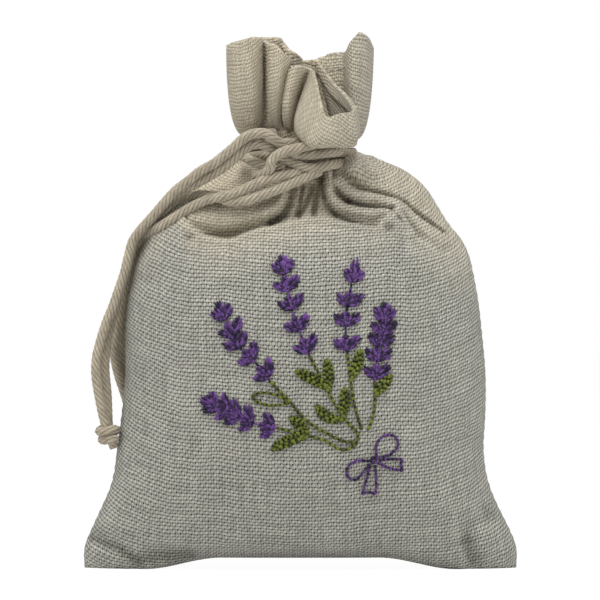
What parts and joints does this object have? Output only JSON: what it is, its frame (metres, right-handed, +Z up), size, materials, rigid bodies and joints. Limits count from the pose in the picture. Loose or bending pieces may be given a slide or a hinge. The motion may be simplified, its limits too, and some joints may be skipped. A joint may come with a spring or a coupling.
{
  "type": "lavender sachet",
  "caption": "Stuffed linen drawstring sachet with a cord-tied gathered neck, hanging knotted cord ends and an embroidered bunch of lavender on its front.",
  "frame": {"origin": "on the surface that the sachet stands on, below the middle of the bag", "axes": "+Z up from the bottom seam to the ruffle, -Y out of the embroidered front, +X to its right"},
  "size_m": [0.1006, 0.0478, 0.1234],
  "materials": {
    "linen": "matte",
    "sewing_thread": "matte",
    "dried_lavender": "matte",
    "cotton_cord": "matte",
    "purple_thread": "satin",
    "green_thread": "satin"
  },
  "bodies": {
    "bag": {"front_panel": "linen", "back_panel": "linen", "left_seam_thread": "sewing_thread", "right_seam_thread": "sewing_thread", "bottom_seam_thread": "sewing_thread", "front_hem_thread": "sewing_thread", "back_hem_thread": "sewing_thread", "lavender_fill": "dried_lavender", "neck_winding": "cotton_cord", "tie_knot": "cotton_cord", "shoulder_strand_a1": "cotton_cord", "shoulder_strand_a2": "cotton_cord", "shoulder_strand_b1": "cotton_cord", "shoulder_strand_b2": "cotton_cord", "flower_head_1": "purple_thread", "flower_head_2": "purple_thread", "flower_head_3": "purple_thread", "flower_head_4": "purple_thread", "flower_head_5": "purple_thread", "bow": "purple_thread", "stem_1": "green_thread", "stem_2": "green_thread", "stem_3": "green_thread", "stem_4": "green_thread", "stem_5": "green_thread", "leaf_1": "green_thread", "leaf_2": "green_thread", "leaf_3": "green_thread", "leaf_4": "green_thread", "leaf_5": "green_thread", "leaf_6": "green_thread", "leaf_7": "green_thread", "leaf_8": "green_thread", "leaf_9": "green_thread"},
    "cord_pair_a": {"hanging_strand_a1": "cotton_cord", "hanging_strand_a2": "cotton_cord", "end_knot_a": "cotton_cord"},
    "cord_pair_b": {"hanging_strand_b1": "cotton_cord", "hanging_strand_b2": "cotton_cord", "end_knot_b": "cotton_cord"}
  },
  "joints": [
    {"name": "cord_pair_a_swing", "type": "hinge", "parent": "bag", "child": "cord_pair_a", "pos_m": [-0.0386, 0, 0.0764], "axis": [0, 1, 0], "range_deg": [0, 90]},
    {"name": "cord_pair_b_swing", "type": "hinge", "parent": "bag", "child": "cord_pair_b", "pos_m": [-0.0386, 0, 0.0764], "axis": [0, 1, 0], "range_deg": [0, 90]}
  ]
}
